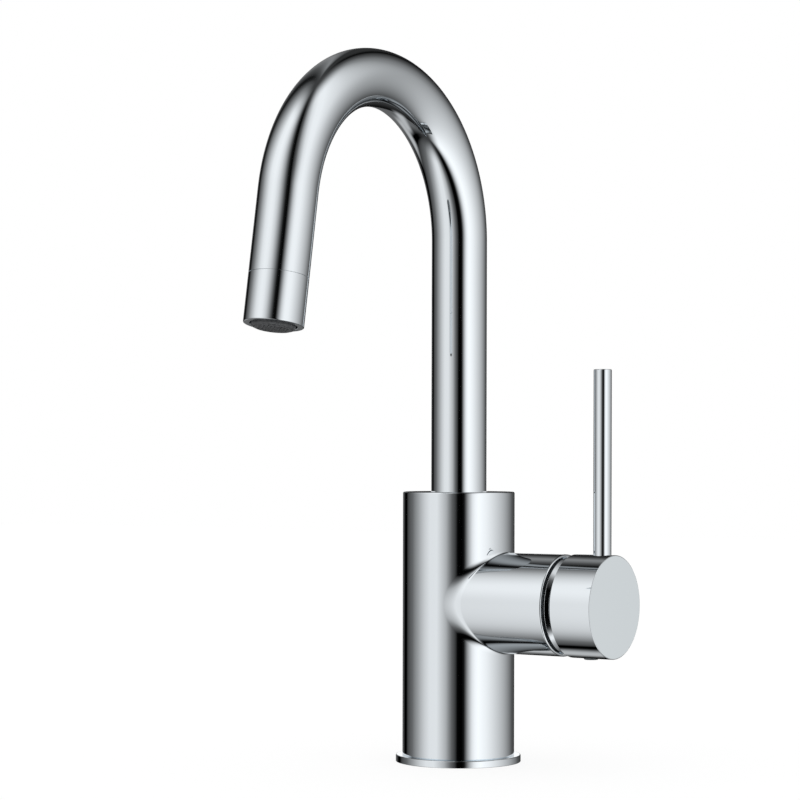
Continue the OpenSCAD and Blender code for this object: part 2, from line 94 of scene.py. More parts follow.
class FaucetSizes(bpy.types.PropertyGroup):
    flange_radius: distance("Flange radius", "Radius of the base flange", 28.5)
    flange_height: distance("Flange height", "Thickness of the base flange", 3.2)
    body_radius: distance("Body radius", "Radius of the upright body", 25.5)
    body_top: distance("Body top", "Height of the body's top above the deck", 123)
    top_rounding: distance("Top rounding", "Rounding of the body's top edge", 0.8)
    branch_radius: distance("Branch radius", "Radius of the valve branch", 22.7)
    branch_end: distance("Branch end", "Branch's end face from the body axis", 56.9)
    blend_side: distance("Blend at the sides", "Blend's reach on the body beside the branch", 4.3)
    blend_top: distance("Blend at the top", "Blend's reach on the body above the branch", 0.9)
    blend_branch: distance("Blend on the branch", "Blend's reach along the branch's sides", 4.2)
    knob_radius: distance("Knob radius", "Radius of the knob", 22.9)
    knob_start: distance("Knob start", "Knob's open end from the body axis", 61.6)
    knob_end: distance("Knob end", "Knob's front face from the body axis", 81.4)
    rod_radius: distance("Rod radius", "Radius of the lever rod", 4.0)
    rod_at: distance("Rod position", "Lever rod's axis from the body axis", 75)
    rod_top: distance("Rod top", "Height of the lever rod's top", 177.4)
    tube_radius: distance("Tube radius", "Outer radius of the spout tube", 12.6)
    tube_wall: distance("Tube wall", "Wall of the spout tube", 1.3)
    collar_length: distance("Collar length", "Length of the outlet collar", 20.7)
    round_steps: IntProperty(
        name="Round steps", description="Facets round a turned piece", default=192, min=24, max=512
    )


class FaucetFinishes(bpy.types.PropertyGroup):
    chrome: tint("Chrome", "Colour of the chrome plating", (0.86, 0.905, 0.94))
    # Painted shade: a dark colour for the plating in the gaps, standing in for the shadow there
    dull: tint("Dull plating", "Colour of the unpolished plating in gaps", (0.1, 0.104, 0.108))
    brass: tint("Brass", "Colour of the machined brass", (0.80, 0.62, 0.34))
    steel: tint("Steel", "Colour of the stainless steel", (0.62, 0.62, 0.60))
    rubber: tint("Rubber", "Colour of the seals and washers", (0.02, 0.02, 0.021))
    plug: tint("Plug", "Colour of the plug under the knob", (0.025, 0.026, 0.028))
    ceramic: tint("Ceramic", "Colour of the ceramic discs", (0.82, 0.81, 0.78))
    nylon: tint("Nylon", "Colour of the cartridge's white plastic", (0.78, 0.77, 0.72))
    housing: tint("Housing", "Colour of the cartridge's grey plastic", (0.22, 0.23, 0.24))
    aerator: tint("Aerator", "Colour of the flow straightener", (0.05, 0.052, 0.055))


def sizes():
    return bpy.context.scene.faucet_sizes


def finishes():
    return bpy.context.scene.faucet_finishes


# ---------- modelling helpers ----------


def fresh():
    """Leaves edit mode and selects nothing."""
    if bpy.context.object and bpy.context.object.mode != "OBJECT":
        bpy.ops.object.mode_set(mode="OBJECT")
    bpy.ops.object.select_all(action="DESELECT")


def alone(piece):
    fresh()
    piece.select_set(True)
    bpy.context.view_layer.objects.active = piece


def edit(piece):
    """Opens a piece alone in edit mode, with nothing selected."""
    alone(piece)
    bpy.ops.object.mode_set(mode="EDIT")
    bpy.ops.mesh.select_mode(type="VERT")
    bpy.ops.mesh.select_all(action="DESELECT")


def gridded(piece, cuts):
    edit(piece)
    bpy.ops.mesh.select_all(action="SELECT")
    bpy.ops.mesh.subdivide(number_cuts=cuts)
    bpy.ops.object.mode_set(mode="OBJECT")


def named(name):
    piece = bpy.context.object
    piece.name = name
    piece.data.name = name
    return piece


ARC_STEP = 15
FLAT = 0.03


def eased(corners):
    """Draws corners (radius, distance, rounding) in millimetres as an outline in metres. A rounding
    becomes an arc between two short flats, which keep the reflections beside it true."""
    outline = []
    for i, corner in enumerate(corners):
        here = Vector(corner[:2])
        if len(corner) < 3:
            outline.append(here * MM)
            continue
        before = (Vector(corners[i - 1][:2]) - here).normalized()
        after = (Vector(corners[(i + 1) % len(corners)][:2]) - here).normalized()
        turn = math.pi - before.angle(after)
        reach = corner[2] * math.tan(turn / 2)
        centre = here + (before + after).normalized() * corner[2] / math.cos(turn / 2)
        first = here + before * reach - centre
        way = 1 if before.cross(after) < 0 else -1
        count = max(2, round(math.degrees(turn) / ARC_STEP))
        outline.append((here + before * (reach + FLAT)) * MM)
        for k in range(count + 1):
            outline.append((centre + Matrix.Rotation(way * turn * k / count, 2) @ first) * MM)
        outline.append((here + after * (reach + FLAT)) * MM)
    return outline


def drawn(name, points):
    """One vertex, extruded from point to point."""
    fresh()
    bpy.ops.mesh.primitive_plane_add(size=MM, location=points[0])
    piece = named(name)
    bpy.ops.object.mode_set(mode="EDIT")
    bpy.ops.mesh.merge(type="CENTER")
    for here, there in zip(points, points[1:]):
        bpy.ops.mesh.extrude_vertices_move(TRANSFORM_OT_translate={"value": there - here})
    return piece


def turned(name, outline, base=(0, 0, 0), axis=UP, closed=True, steps=0):
    """Spins an outline of (radius, distance along the axis) into a solid of revolution."""
    base, axis = Vector(base), Vector(axis).normalized()
    side = Vector((1, 0, 0)) if axis.y else Vector((0, 1, 0))
    piece = drawn(name, [base + side * r + axis * h for r, h in outline])
    if closed:
        mesh = bmesh.from_edit_mesh(piece.data)
        mesh.verts.ensure_lookup_table()
        bpy.ops.mesh.select_all(action="DESELECT")
        mesh.verts[0].select = mesh.verts[-1].select = True
        bpy.ops.mesh.edge_face_add()
    bpy.ops.mesh.select_all(action="SELECT")
    bpy.ops.mesh.spin(steps=steps or sizes().round_steps, angle=math.tau, center=base, axis=axis)
    closed_up(piece)
    shaded(piece)
    return piece


def closed_up(piece):
    """Merges doubles and turns the faces outwards; leaves the piece in object mode, unturned."""
    bpy.ops.mesh.select_all(action="SELECT")
    bpy.ops.mesh.remove_doubles(threshold=2e-6)
    bpy.ops.mesh.normals_make_consistent(inside=False)
    bpy.ops.object.mode_set(mode="OBJECT")
    bpy.ops.object.transform_apply(location=True, rotation=True, scale=True)


def shaded(piece, angle=28):
    alone(piece)
    bpy.ops.object.shade_smooth_by_angle(angle=math.radians(angle))


def apply_modifier(piece, kind, **settings):
    alone(piece)
    modifier = piece.modifiers.new(kind.title(), kind)
    for key, value in settings.items():
        setattr(modifier, key, value)
    bpy.ops.object.modifier_apply(modifier=modifier.name)


def rod_cutter(base, axis, radius, length, sides=48):
    """A straight drill in millimetres that starts at base and runs along axis."""
    fresh()
    axis = Vector(axis).normalized()
    bpy.ops.mesh.primitive_cylinder_add(
        vertices=sides,
        radius=radius * MM,
        depth=length * MM,
        location=(Vector(base) + axis * length / 2) * MM,
        rotation=UP.rotation_difference(axis).to_euler(),
    )
    cutter = named("drill")
    bpy.ops.object.transform_apply(location=True, rotation=True, scale=True)
    return cutter


def cut(piece, *cutters, how="DIFFERENCE"):
    for cutter in cutters:
        apply_modifier(piece, "BOOLEAN", object=cutter, operation=how, solver="EXACT")
        bpy.data.objects.remove(cutter)


def true_normals(piece, *surfaces):
    """Gives faces that lie on one of the round surfaces its exact normals, so that chrome mirrors
    cleanly across holes and facets. A surface returns the normal at a point, or None off it."""
    mesh = piece.data
    normals = []
    spots = [[surface(v.co) for surface in surfaces] for v in mesh.vertices]
    for face in mesh.polygons:
        corners = list(face.vertices)
        chosen = None
        for k in range(len(surfaces)):
            found = [spots[v][k] for v in corners]
            if all(n is not None and abs(n.dot(face.normal)) > 0.93 for n in found):
                chosen = [n if n.dot(face.normal) > 0 else -n for n in found]
                break
        normals.extend(chosen or [Vector((0, 0, 0))] * len(corners))
    mesh.normals_split_custom_set(normals)


def round_about(base, axis, radius):
    """A cylinder in millimetres, as a surface for true_normals."""
    base, axis = Vector(base) * MM, Vector(axis)

    def normal(spot):
        out = spot - base
        out -= axis * out.dot(axis)
        return out.normalized() if abs(out.length - radius * MM) < 0.02 * MM else None

    return normal


def settle(piece, body, slot, material, *nodes):
    """Puts a finished piece on its body, with its finish, in the place of its CAD nodes."""
    piece.data.materials.clear()
    piece.data.materials.append(bpy.data.materials[material])
    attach(piece, body)
    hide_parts(*nodes)


def paint_gap_shade(piece, in_shade):
    """Paints shade on the faces whose centres lie in a gap: dull plating whose dark colour stands
    in for the shadow there.
    """
    piece.data.materials.append(bpy.data.materials["dull_plating"])
    for face in piece.data.polygons:
        if in_shade(face.center):
            face.material_index = 1


# ---------- finishes ----------


class Recipe:
    """A node material on Object coordinates."""

    def __init__(self, name, metallic):
        self.material = bpy.data.materials.new(name)
        self.material.use_nodes = True
        self.tree = self.material.node_tree
        self.shader = self.tree.nodes["Principled BSDF"]
        self.shader.inputs["Metallic"].default_value = metallic
        self.place = self.tree.nodes.new("ShaderNodeTexCoord").outputs["Object"]

    def noise(self, scale, detail, stretch=(1, 1, 1)):
        mapping = self.tree.nodes.new("ShaderNodeMapping")
        mapping.inputs["Scale"].default_value = stretch
        self.tree.links.new(self.place, mapping.inputs["Vector"])
        noise = self.tree.nodes.new("ShaderNodeTexNoise")
        noise.inputs["Scale"].default_value = scale
        noise.inputs["Detail"].default_value = detail
        self.tree.links.new(mapping.outputs["Vector"], noise.inputs["Vector"])
        return noise.outputs["Fac"]

    def coloured(self, source, dark, light):
        ramp = self.tree.nodes.new("ShaderNodeValToRGB")
        for element, place, colour in zip(ramp.color_ramp.elements, (0.3, 0.7), (dark, light)):
            element.position = place
            element.color = (*colour, 1)
        self.tree.links.new(source, ramp.inputs["Fac"])
        self.tree.links.new(ramp.outputs["Color"], self.shader.inputs["Base Color"])

    def rough(self, source, low, high):
        span = self.tree.nodes.new("ShaderNodeMapRange")
        span.inputs["From Min"].default_value = 0.3
        span.inputs["From Max"].default_value = 0.7
        span.inputs["To Min"].default_value = low
        span.inputs["To Max"].default_value = high
        self.tree.links.new(source, span.inputs["Value"])
        self.tree.links.new(span.outputs["Result"], self.shader.inputs["Roughness"])

    def bumped(self, source, depth):
        bump = self.tree.nodes.new("ShaderNodeBump")
        bump.inputs["Strength"].default_value = 1
        bump.inputs["Distance"].default_value = depth
        self.tree.links.new(source, bump.inputs["Height"])
        self.tree.links.new(bump.outputs["Normal"], self.shader.inputs["Normal"])


def shade_of(colour, factor):
    return tuple(min(1, c * factor) for c in colour)


# Material: colour, metallic, its darkest and lightest shade, the noise of the colour, the noise and
# the range of the roughness, and the noise and depth of the relief in metres. A noise is (scale,
# detail) and may have a stretch.
MATERIALS = {
    "polished_chrome": ("chrome", 1, (0.995, 1), (9, 2), (60, 4), (0.012, 0.03), None, 0),
    # Painted shade: its dark colour stands in for the shadow in the gaps; its roughness is that of
    # dull plating
    "dull_plating": ("dull", 1, (0.8, 1), (300, 3), (700, 4), (0.3, 0.45), None, 0),
    "machined_brass": (
        "brass", 1, (0.86, 1), (400, 3), (900, 3, (0.15, 0.15, 4)), (0.2, 0.36),
        (1400, 2, (0.1, 0.1, 6)), 2e-5,
    ),
    "stainless_steel": (
        "steel", 1, (0.88, 1), (300, 3), (1200, 3, (6, 0.2, 1)), (0.22, 0.4),
        (1500, 2, (8, 0.15, 1)), 1e-5,
    ),
    "seal_rubber": ("rubber", 0, (0.75, 1.5), (500, 4), (900, 3), (0.5, 0.7), (2500, 3), 3e-5),
    "plug_rubber": ("plug", 0, (0.75, 1.5), (500, 4), (900, 3), (0.5, 0.7), (2500, 3), 3e-5),
    "lapped_ceramic": ("ceramic", 0, (0.94, 1), (700, 4), (1500, 3), (0.12, 0.22), None, 0),
    "white_nylon": ("nylon", 0, (0.93, 1), (250, 3), (900, 4), (0.38, 0.5), (2200, 3), 2e-5),
    "grey_moulding": ("housing", 0, (0.88, 1), (300, 3), (900, 4), (0.4, 0.55), (2200, 3), 2e-5),
    "aerator_moulding": (
        "aerator", 0, (0.7, 1.6), (900, 4), (1200, 4), (0.35, 0.55), (2600, 3), 3e-5,
    ),
}


class FAUCET_OT_finishes(bpy.types.Operator):
    """Mixes the finishes: chrome, brass, steel, rubber, ceramic and the plastics"""

    bl_idname = "faucet.finishes"
    bl_label = "Finishes"

    def execute(self, context):
        for name, row in MATERIALS.items():
            tone, metallic, shades, grain, wear, gloss, relief, depth = row
            colour = getattr(finishes(), tone)
            recipe = Recipe(name, metallic)
            recipe.coloured(recipe.noise(*grain), *(shade_of(colour, shade) for shade in shades))
            recipe.rough(recipe.noise(*wear), *gloss)
            if relief:
                recipe.bumped(recipe.noise(*relief), depth)
        return {"FINISHED"}


# ---------- body ----------

BODY_LOOP = 256
SPREAD_RINGS = 16
BLEND_RINGS = 14


def blend_hull(turn):
    """The blend at a turn about the branch: where it starts on the body, as (angle, height), and
    the three points that its arc hangs on. It reaches far at the branch's sides and fades to a
    nearly sharp corner at the top and bottom."""
    s = sizes()
    wall, out = s.body_radius, Vector((0, math.cos(turn), math.sin(turn)))
    side = abs(out.y)
    crease = s.branch_radius * out
    crease.x = math.sqrt(wall * wall - crease.y * crease.y)
    away = Vector((out.y * s.branch_radius, wall * out.z * s.branch_radius / crease.x)).normalized()
    reach = s.blend_top + (s.blend_side - s.blend_top) * side**1.3
    angle = math.atan2(crease.y, crease.x) + away.x * reach / wall
    height = crease.z + away.y * reach
    foot = Vector((wall * math.cos(angle), wall * math.sin(angle), height))
    towards = Vector((away.x * math.sin(angle), -away.x * math.cos(angle), -away.y))
    head = crease + ALONG * (0.8 * MM + (s.blend_branch - 0.8 * MM) * side**3)
    corner = foot + towards * ((head - foot).dot(out) / towards.dot(out))
    return (angle, height), (head, corner, foot)


def blend_spot(turn, share):
    head, corner, foot = blend_hull(turn)[1]
    return head * (1 - share) ** 2 + corner * 2 * share * (1 - share) + foot * share**2


def blend_normal(turn, share):
    """The blend's outward normal, from its slopes along and round the branch."""
    head, corner, foot = blend_hull(turn)[1]
    down = (corner - head) * (1 - share) + (foot - corner) * share
    step = 1e-4
    round_it = blend_spot(turn + step, share) - blend_spot(turn - step, share)
    return round_it.cross(down).normalized()


def wall_spot(turn):
    """Where the loop round the branch ends on the half-round wall of the body, (angle, height)."""
    s = sizes()
    low = s.flange_height + 0.3 * MM
    high = s.body_top - s.top_rounding - 0.03 * MM
    share = ((turn + math.pi / 4) % math.tau) / (math.pi / 2)
    side, part = int(share + 1e-6) % 4, share - int(share + 1e-6)
    quarter = math.pi / 2
    if side == 0:
        return quarter, low + (high - low) * part
    if side == 1:
        return quarter - math.pi * part, high
    if side == 2:
        return -quarter, high + (low - high) * part
    return -quarter + math.pi * part, low


class Loop:
    """Grows an open edge loop ring by ring. Every vertex keeps its turn about the branch axis."""

    def __init__(self, piece):
        self.piece = piece
        mesh = bmesh.from_edit_mesh(piece.data)
        turn = mesh.verts.layers.float.new("turn")
        mesh.verts.layers.float_vector.new("true_normal")
        for v in mesh.verts:
            v[turn] = math.atan2(v.co.z - BRANCH.z, v.co.y)
            v.select = True
        mesh.select_flush_mode()
        mesh.select_flush(True)

    def grow(self, spot, normal=None):
        bpy.ops.mesh.extrude_region()
        mesh = bmesh.from_edit_mesh(self.piece.data)
        turn = mesh.verts.layers.float["turn"]
        kept = mesh.verts.layers.float_vector["true_normal"]
        for v in mesh.verts:
            if v.select:
                v.co = spot(v[turn])
                v[kept] = normal(v[turn]) if normal else (0, 0, 0)
        bmesh.update_edit_mesh(self.piece.data)


def open_edges(piece, pick=lambda co: True):
    """Selects the open edges whose two ends pick accepts."""
    mesh = bmesh.from_edit_mesh(piece.data)
    bpy.ops.mesh.select_all(action="DESELECT")
    for e in mesh.edges:
        if e.is_boundary and all(pick(v.co) for v in e.verts):
            e.select = True
    mesh.select_flush(True)
    return mesh


def ring_steps(piece, rings, pick):
    """Extrudes the open loop that pick chooses through rings of (radius, height), about Z."""
    mesh = open_edges(piece, pick)
    start = next(v.co.copy() for v in mesh.verts if v.select)
    radius, height = math.hypot(start.x, start.y), start.z
    for r, z in rings:
        bpy.ops.mesh.extrude_region_move(
            TRANSFORM_OT_translate={"value": (0, 0, z - height)}
        )
        if r > 0:
            scale = r / radius
            bpy.ops.transform.resize(value=(scale, scale, 1), center_override=(0, 0, z))
            radius = r
        else:
            bpy.ops.mesh.merge(type="CENTER")
        height = z


class FAUCET_OT_body(bpy.types.Operator):
    """Models the cast body with its blended side branch, bores and water ways"""

    bl_idname = "faucet.body"
    bl_label = "Body Casting"

    def execute(self, context):
        s = sizes()
        seat, seat_bore, counterbore, counter_r = 22 * MM, 17.5 * MM, 45 * MM, 19.5 * MM
        fresh()
        bpy.ops.mesh.primitive_circle_add(
            vertices=BODY_LOOP,
            radius=seat_bore,
            location=BRANCH + ALONG * seat,
            rotation=(0, math.pi / 2, 0),
        )
        piece = named("body_casting")
        bpy.ops.object.transform_apply(location=True, rotation=True, scale=True)
        bpy.ops.object.mode_set(mode="EDIT")
        bpy.ops.mesh.select_all(action="SELECT")
        loop = Loop(piece)

        def ring(radius, x):
            return lambda turn: BRANCH + Vector(
                (x, radius * math.cos(turn), radius * math.sin(turn))
            )

        end, outer = s.branch_end, s.branch_radius
        loop.grow(ring(seat_bore, counterbore))
        loop.grow(ring(counter_r, counterbore))
        loop.grow(ring(counter_r, end - 0.2 * MM))
        loop.grow(ring(counter_r + 0.2 * MM, end))
        bevel = 0.85 * MM
        loop.grow(ring(outer - bevel - 0.03 * MM, end))
        for k in range(7):
            a = math.radians(15 * k)
            loop.grow(ring(outer - bevel + bevel * math.sin(a), end - bevel + bevel * math.cos(a)))
        loop.grow(ring(outer, end - bevel - 0.03 * MM))

        for k in range(BLEND_RINGS + 1):
            share = k / BLEND_RINGS
            loop.grow(
                lambda turn: BRANCH + blend_spot(turn, share),
                lambda turn: blend_normal(turn, share),
            )

        def on_wall(share):
            def spot(turn):
                angle, height = blend_hull(turn)[0]
                end_angle, end_height = wall_spot(turn)
                angle += (end_angle - angle) * share
                height += BRANCH.z
                height += (end_height - height) * share
                wall = s.body_radius
                return Vector((wall * math.cos(angle), wall * math.sin(angle), height))

            return spot

        for k in range(1, SPREAD_RINGS + 1):
            loop.grow(on_wall((k / SPREAD_RINGS) ** 1.25))

        # The back half of the wall is the +Y edge spun round to the -Y edge
        open_edges(piece, lambda co: abs(co.x) < 1e-6 and co.y > 25 * MM)
        bpy.ops.mesh.spin(steps=64, angle=math.pi, center=(0, 0, 0), axis=(0, 0, -1))
        bpy.ops.mesh.select_all(action="SELECT")
        bpy.ops.mesh.remove_doubles(threshold=2e-6)

        wall, top = s.body_radius / MM, s.body_top / MM
        rounding = s.top_rounding / MM
        bore = 12.9
        above = [
            (wall - rounding + rounding * math.cos(a), top - rounding + rounding * math.sin(a))
            for a in (math.radians(15 * k) for k in range(7))
        ]
        above += [(wall - rounding - 0.03, top), (bore + 0.38, top), (bore + 0.35, top)]
        above += [
            (bore + 0.35 - 0.35 * math.sin(a), top - 0.35 + 0.35 * math.cos(a))
            for a in (math.radians(22.5 * k) for k in range(1, 5))
        ]
        above += [(bore, top - 0.4), (bore, 94), (4, 94), (4, 65.9), (0, 65.9)]
        below = [
            (wall - 0.3, 3.2), (17.0, 3.2), (16.55, 3.65), (16.55, 22), (14, 22), (14, 40), (0, 40),
        ]
        ring_steps(piece, [(r * MM, z * MM) for r, z in above], lambda co: co.z > 122 * MM)
        ring_steps(
            piece,
            [(r * MM, z * MM) for r, z in below],
            lambda co: co.z < 4 * MM and math.hypot(co.x, co.y) > 25 * MM,
        )
        # The cartridge seat closes the branch
        open_edges(piece)
        bpy.ops.mesh.extrude_region_move(TRANSFORM_OT_translate={"value": (0, 0, 0)})
        bpy.ops.mesh.merge(type="CENTER")
        closed_up(piece)

        drills = [rod_cutter((0, 14, 109.5), (0, 1, 0), 2, 14)]
        for side in (-1, 1):
            drills.append(rod_cutter((0, 7 * side, 39), UP, 5, 15))
            drills.append(rod_cutter((4, 8 * side, 53), UP, 3, 27.1))
            drills.append(rod_cutter((4, 6.2 * side, 77.7), ALONG, 2.4, 19))
        drills.append(rod_cutter((0, 0, 69.3), ALONG, 3.4, 23))
        for side in (-1, 1):
            drills.append(rod_cutter((19.8, 8 * side, 61.9), ALONG, 1.5, 3))
        cut(piece, *drills)
        shaded(piece, 28)
        kept = piece.data.attributes["true_normal"].data
        blend = {
            tuple(v.co): Vector(kept[v.index].vector)
            for v in piece.data.vertices
            if Vector(kept[v.index].vector).length > 0.9
        }
        true_normals(
            piece,
            lambda co: blend.get(tuple(co)),
            round_about((0, 0, 0), UP, wall),
            round_about(BRANCH / MM, ALONG, outer / MM),
        )
        for name in ("turn", "true_normal"):
            piece.data.attributes.remove(piece.data.attributes[name])
        settle(piece, "faucet_base", "chrome", "polished_chrome", "faucet_body")
        return {"FINISHED"}


class FAUCET_OT_flange(bpy.types.Operator):
    """Turns the base flange and the seal in its underside"""

    bl_idname = "faucet.flange"
    bl_label = "Base Flange"

    def execute(self, context):
        s = sizes()
        r, h = s.flange_radius / MM, s.flange_height / MM
        outline = [
            (16.7, 0), (22, 0), (22, 1.8), (25, 1.8), (25, 0), (r, 0, 0.3), (r, h, 0.45), (16.7, h),
        ]
        piece = turned("flange_ring", eased(outline))
        settle(piece, "faucet_base", "chrome", "polished_chrome", "base_flange")
        outline = [(22.05, 0, 0.2), (24.95, 0, 0.2), (24.95, 1.75), (22.05, 1.75)]
        seal = turned("deck_seal", eased(outline))
        settle(seal, "faucet_base", "rubber", "seal_rubber", "base_seal")
        return {"FINISHED"}


class FAUCET_OT_neck(bpy.types.Operator):
    """Turns the neck ring that shows in the gap between branch and knob"""

    bl_idname = "faucet.neck"
    bl_label = "Neck Ring"

    def execute(self, context):
        outline = eased(
            [
                (17.4, 53.6), (19.4, 53.6), (19.4, 56.9), (20.3, 56.9), (20.3, 57.9),
                (21.5, 57.9, 0.12), (17.65, 63.6, 0.4), (14.6, 63.6, 0.3), (14.6, 62.1), (17.4, 58),
            ]
        )
        piece = turned("neck_ring_dress", outline, BRANCH, ALONG)
        settle(piece, "faucet_base", "chrome", "polished_chrome", "neck_ring")
        # The groove and the step face beside the branch get painted shade
        paint_gap_shade(piece, lambda spot: spot.x < 57.85 * MM)
        return {"FINISHED"}


# ---------- handle ----------

# The knob's set screw from the body axis
SCREW_AT = 69.5


class FAUCET_OT_knob(bpy.types.Operator):
    """Turns the hollow knob and drills it for the rod and the set screw"""

    bl_idname = "faucet.knob"
    bl_label = "Knob"

    def execute(self, context):
        s = sizes()
        r, start, end = s.knob_radius / MM, s.knob_start / MM, s.knob_end / MM
        outline = eased(
            [
                (0, end), (r, end, 0.35), (r, start, 0.12), (r - 1, start, 0.1), (r - 1, 72.6, 0.4),
                (8, 72.6, 0.4), (8, 66.9, 0.4), (4.05, 66.9), (4.05, 78.3), (0, 78.3),
            ]
        )
        piece = turned("knob", outline, BRANCH, ALONG, closed=False, steps=256)
        rod_at, axis = s.rod_at / MM, BRANCH.z / MM
        pad = rod_cutter((rod_at, 0, axis + 9), UP, 5.4, 13.2)
        cut(piece, pad, how="UNION")
        cut(
            piece,
            rod_cutter((rod_at, 0, axis + 17.1), UP, 4.05, 10, 96),
            rod_cutter((rod_at, 0, axis + 9.4), UP, 2.55, 9),
            rod_cutter((SCREW_AT, 0, axis - 26), UP, 2.65, 6),
            rod_cutter((SCREW_AT, 0, axis - 9), UP, 2.05, 8),
        )
        shaded(piece)
        middle = BRANCH / MM
        true_normals(piece, round_about(middle, ALONG, r), round_about(middle, ALONG, r - 1))
        settle(piece, "handle", "chrome", "polished_chrome", "handle_hub")
        # The inside of the knob's skirt gets painted shade, dark where its shadow falls
        inside = (r - 0.5) * MM
        paint_gap_shade(
            piece,
            lambda spot: spot.x < 78 * MM and math.hypot(spot.y, spot.z - BRANCH.z) < inside,
        )
        return {"FINISHED"}


class FAUCET_OT_rod(bpy.types.Operator):
    """Turns the lever rod"""

    bl_idname = "faucet.rod"
    bl_label = "Lever Rod"

    def execute(self, context):
        s = sizes()
        r, top, foot = s.rod_radius / MM, s.rod_top / MM, 90.0
        outline = [
            (2.55, foot), (r, foot, 0.2), (r, top, 0.4),
            (0, top), (0, foot + 11), (2.55, foot + 11),
        ]
        piece = turned("lever_rod_dress", eased(outline), (s.rod_at, 0, 0), UP, steps=192)
        settle(piece, "handle", "chrome", "polished_chrome", "lever_rod")
        return {"FINISHED"}


class FAUCET_OT_plug(bpy.types.Operator):
    """Turns the rubber plug over the knob's set screw"""

    bl_idname = "faucet.plug"
    bl_label = "Set Screw Plug"

    def execute(self, context):
        s = sizes()
        low = (BRANCH.z - s.knob_radius) / MM
        outline = eased(
            [
                (0, low - 0.15), (1.0, low - 0.15, 0.1), (1.3, low - 0.5, 0.15),
                (2.9, low - 0.5, 0.25), (3.3, low, 0.1), (3.3, low + 0.35), (2.6, low + 0.35),
                (2.6, low + 2.1, 0.3), (0, low + 2.1),
            ]
        )
        piece = turned("screw_plug", outline, (SCREW_AT * MM, 0, 0), UP, closed=False, steps=64)
        settle(piece, "handle", "plug_rubber", "plug_rubber", "set_screw_plug")
        return {"FINISHED"}


# ---------- spout ----------


def neck_normal(spot):
    """The outward normal of the spout tube's round section at a point on it."""
    pivot = Vector((0, -BEND_R, RISE)) * MM
    arm = Vector((0, spot.y - pivot.y, spot.z - pivot.z))
    angle = math.atan2(arm.z, arm.y)
    if angle < 0 and spot.y > pivot.y:
        out = Vector((spot.x, spot.y, 0))
    elif angle > BEND or spot.z < RISE * MM:
        out = spot - OUTLET
        out -= LEG_UP * out.dot(LEG_UP)
    else:
        out = spot - (pivot + arm.normalized() * BEND_R * MM)
    return out.normalized()


class FAUCET_OT_spout(bpy.types.Operator):
    """Sweeps the spout tube: a straight riser, the bend and the leg down to the collar"""

    bl_idname = "faucet.spout"
    bl_label = "Spout Tube"

    def execute(self, context):
        s = sizes()
        foot = 117 * MM
        fresh()
        bpy.ops.mesh.primitive_circle_add(vertices=176, radius=s.tube_radius, location=(0, 0, foot))
        piece = named("gooseneck")
        bpy.ops.object.transform_apply(location=True, rotation=True, scale=True)
        bpy.ops.object.mode_set(mode="EDIT")
        bpy.ops.mesh.select_all(action="SELECT")
        bpy.ops.mesh.extrude_region_move(TRANSFORM_OT_translate={"value": (0, 0, RISE * MM - foot)})
        bpy.ops.mesh.spin(
            steps=180, angle=BEND, center=Vector((0, -BEND_R, RISE)) * MM, axis=(-1, 0, 0)
        )
        leg = -LEG_UP * (LEG * MM - s.collar_length)
        bpy.ops.mesh.extrude_region_move(TRANSFORM_OT_translate={"value": leg})
        closed_up(piece)
        apply_modifier(piece, "SOLIDIFY", thickness=s.tube_wall, offset=-1, use_even_offset=True)
        shaded(piece, 40)
        true_normals(piece, neck_normal)
        settle(piece, "spout", "chrome", "polished_chrome", "spout_tube")
        return {"FINISHED"}


class FAUCET_OT_collar(bpy.types.Operator):
    """Turns the outlet collar at the end of the leg"""

    bl_idname = "faucet.collar"
    bl_label = "Outlet Collar"

    def execute(self, context):
        s = sizes()
        r, length = s.tube_radius / MM, s.collar_length / MM
        outline = eased(
            [
                (9.95, 0, 0.25), (r, 0, 0.4), (r, length, 0.25), (11.25, length),
                (11.25, length + 9), (7.5, length + 9), (7.5, 13), (9.95, 13),
            ]
        )
        piece = turned("collar", outline, OUTLET, LEG_UP)
        settle(piece, "spout", "chrome", "polished_chrome", "outlet_collar")
        return {"FINISHED"}


class FAUCET_OT_aerator(bpy.types.Operator):
    """Models the aerator's housing and its outlet grid with square holes"""

    bl_idname = "faucet.aerator"
    bl_label = "Aerator"

    def execute(self, context):
        outline = eased(
            [
                (8.0, -1.3, 0.12), (8.6, -1.3, 0.3), (9.15, -0.7, 0.4), (9.15, 3), (9.9, 3.6),
                (9.9, 12), (8.4, 12), (8.4, 9), (7.2, 9), (7.2, 1.2), (8.0, 1.2),
            ]
        )
        housing = turned("aerator_shell", outline, OUTLET, LEG_UP, steps=128)
        settle(housing, "spout", "aerator_plastic", "aerator_moulding", "aerator_housing")

        grid = turned(
            "aerator_screen",
            eased([(0, -1.6), (7.95, -1.6, 0.3), (7.95, 1.2), (0, 1.2)]),
            OUTLET,
            LEG_UP,
            closed=False,
            steps=96,
        )
        turn = UP.rotation_difference(LEG_UP).to_matrix().to_4x4()
        fresh()
        pins = []
        for i in range(-3, 4):
            for j in range(-3, 4):
                if math.hypot(i, j) < 3.2:
                    spot = OUTLET + turn @ (Vector((i * 2, j * 2, -0.2)) * MM)
                    bpy.ops.mesh.primitive_cube_add(
                        size=1.3 * MM, location=spot, rotation=turn.to_euler(), scale=(1, 1, 4)
                    )
                    pins.append(bpy.context.object)
        for pin in pins:
            pin.select_set(True)
        bpy.ops.object.join()
        pin = bpy.context.object
        bpy.ops.object.transform_apply(location=True, rotation=True, scale=True)
        cut(grid, pin)
        shaded(grid, 28)
        settle(grid, "spout", "aerator_plastic", "aerator_moulding", "aerator_grid")
        return {"FINISHED"}


# ---------- under the deck ----------


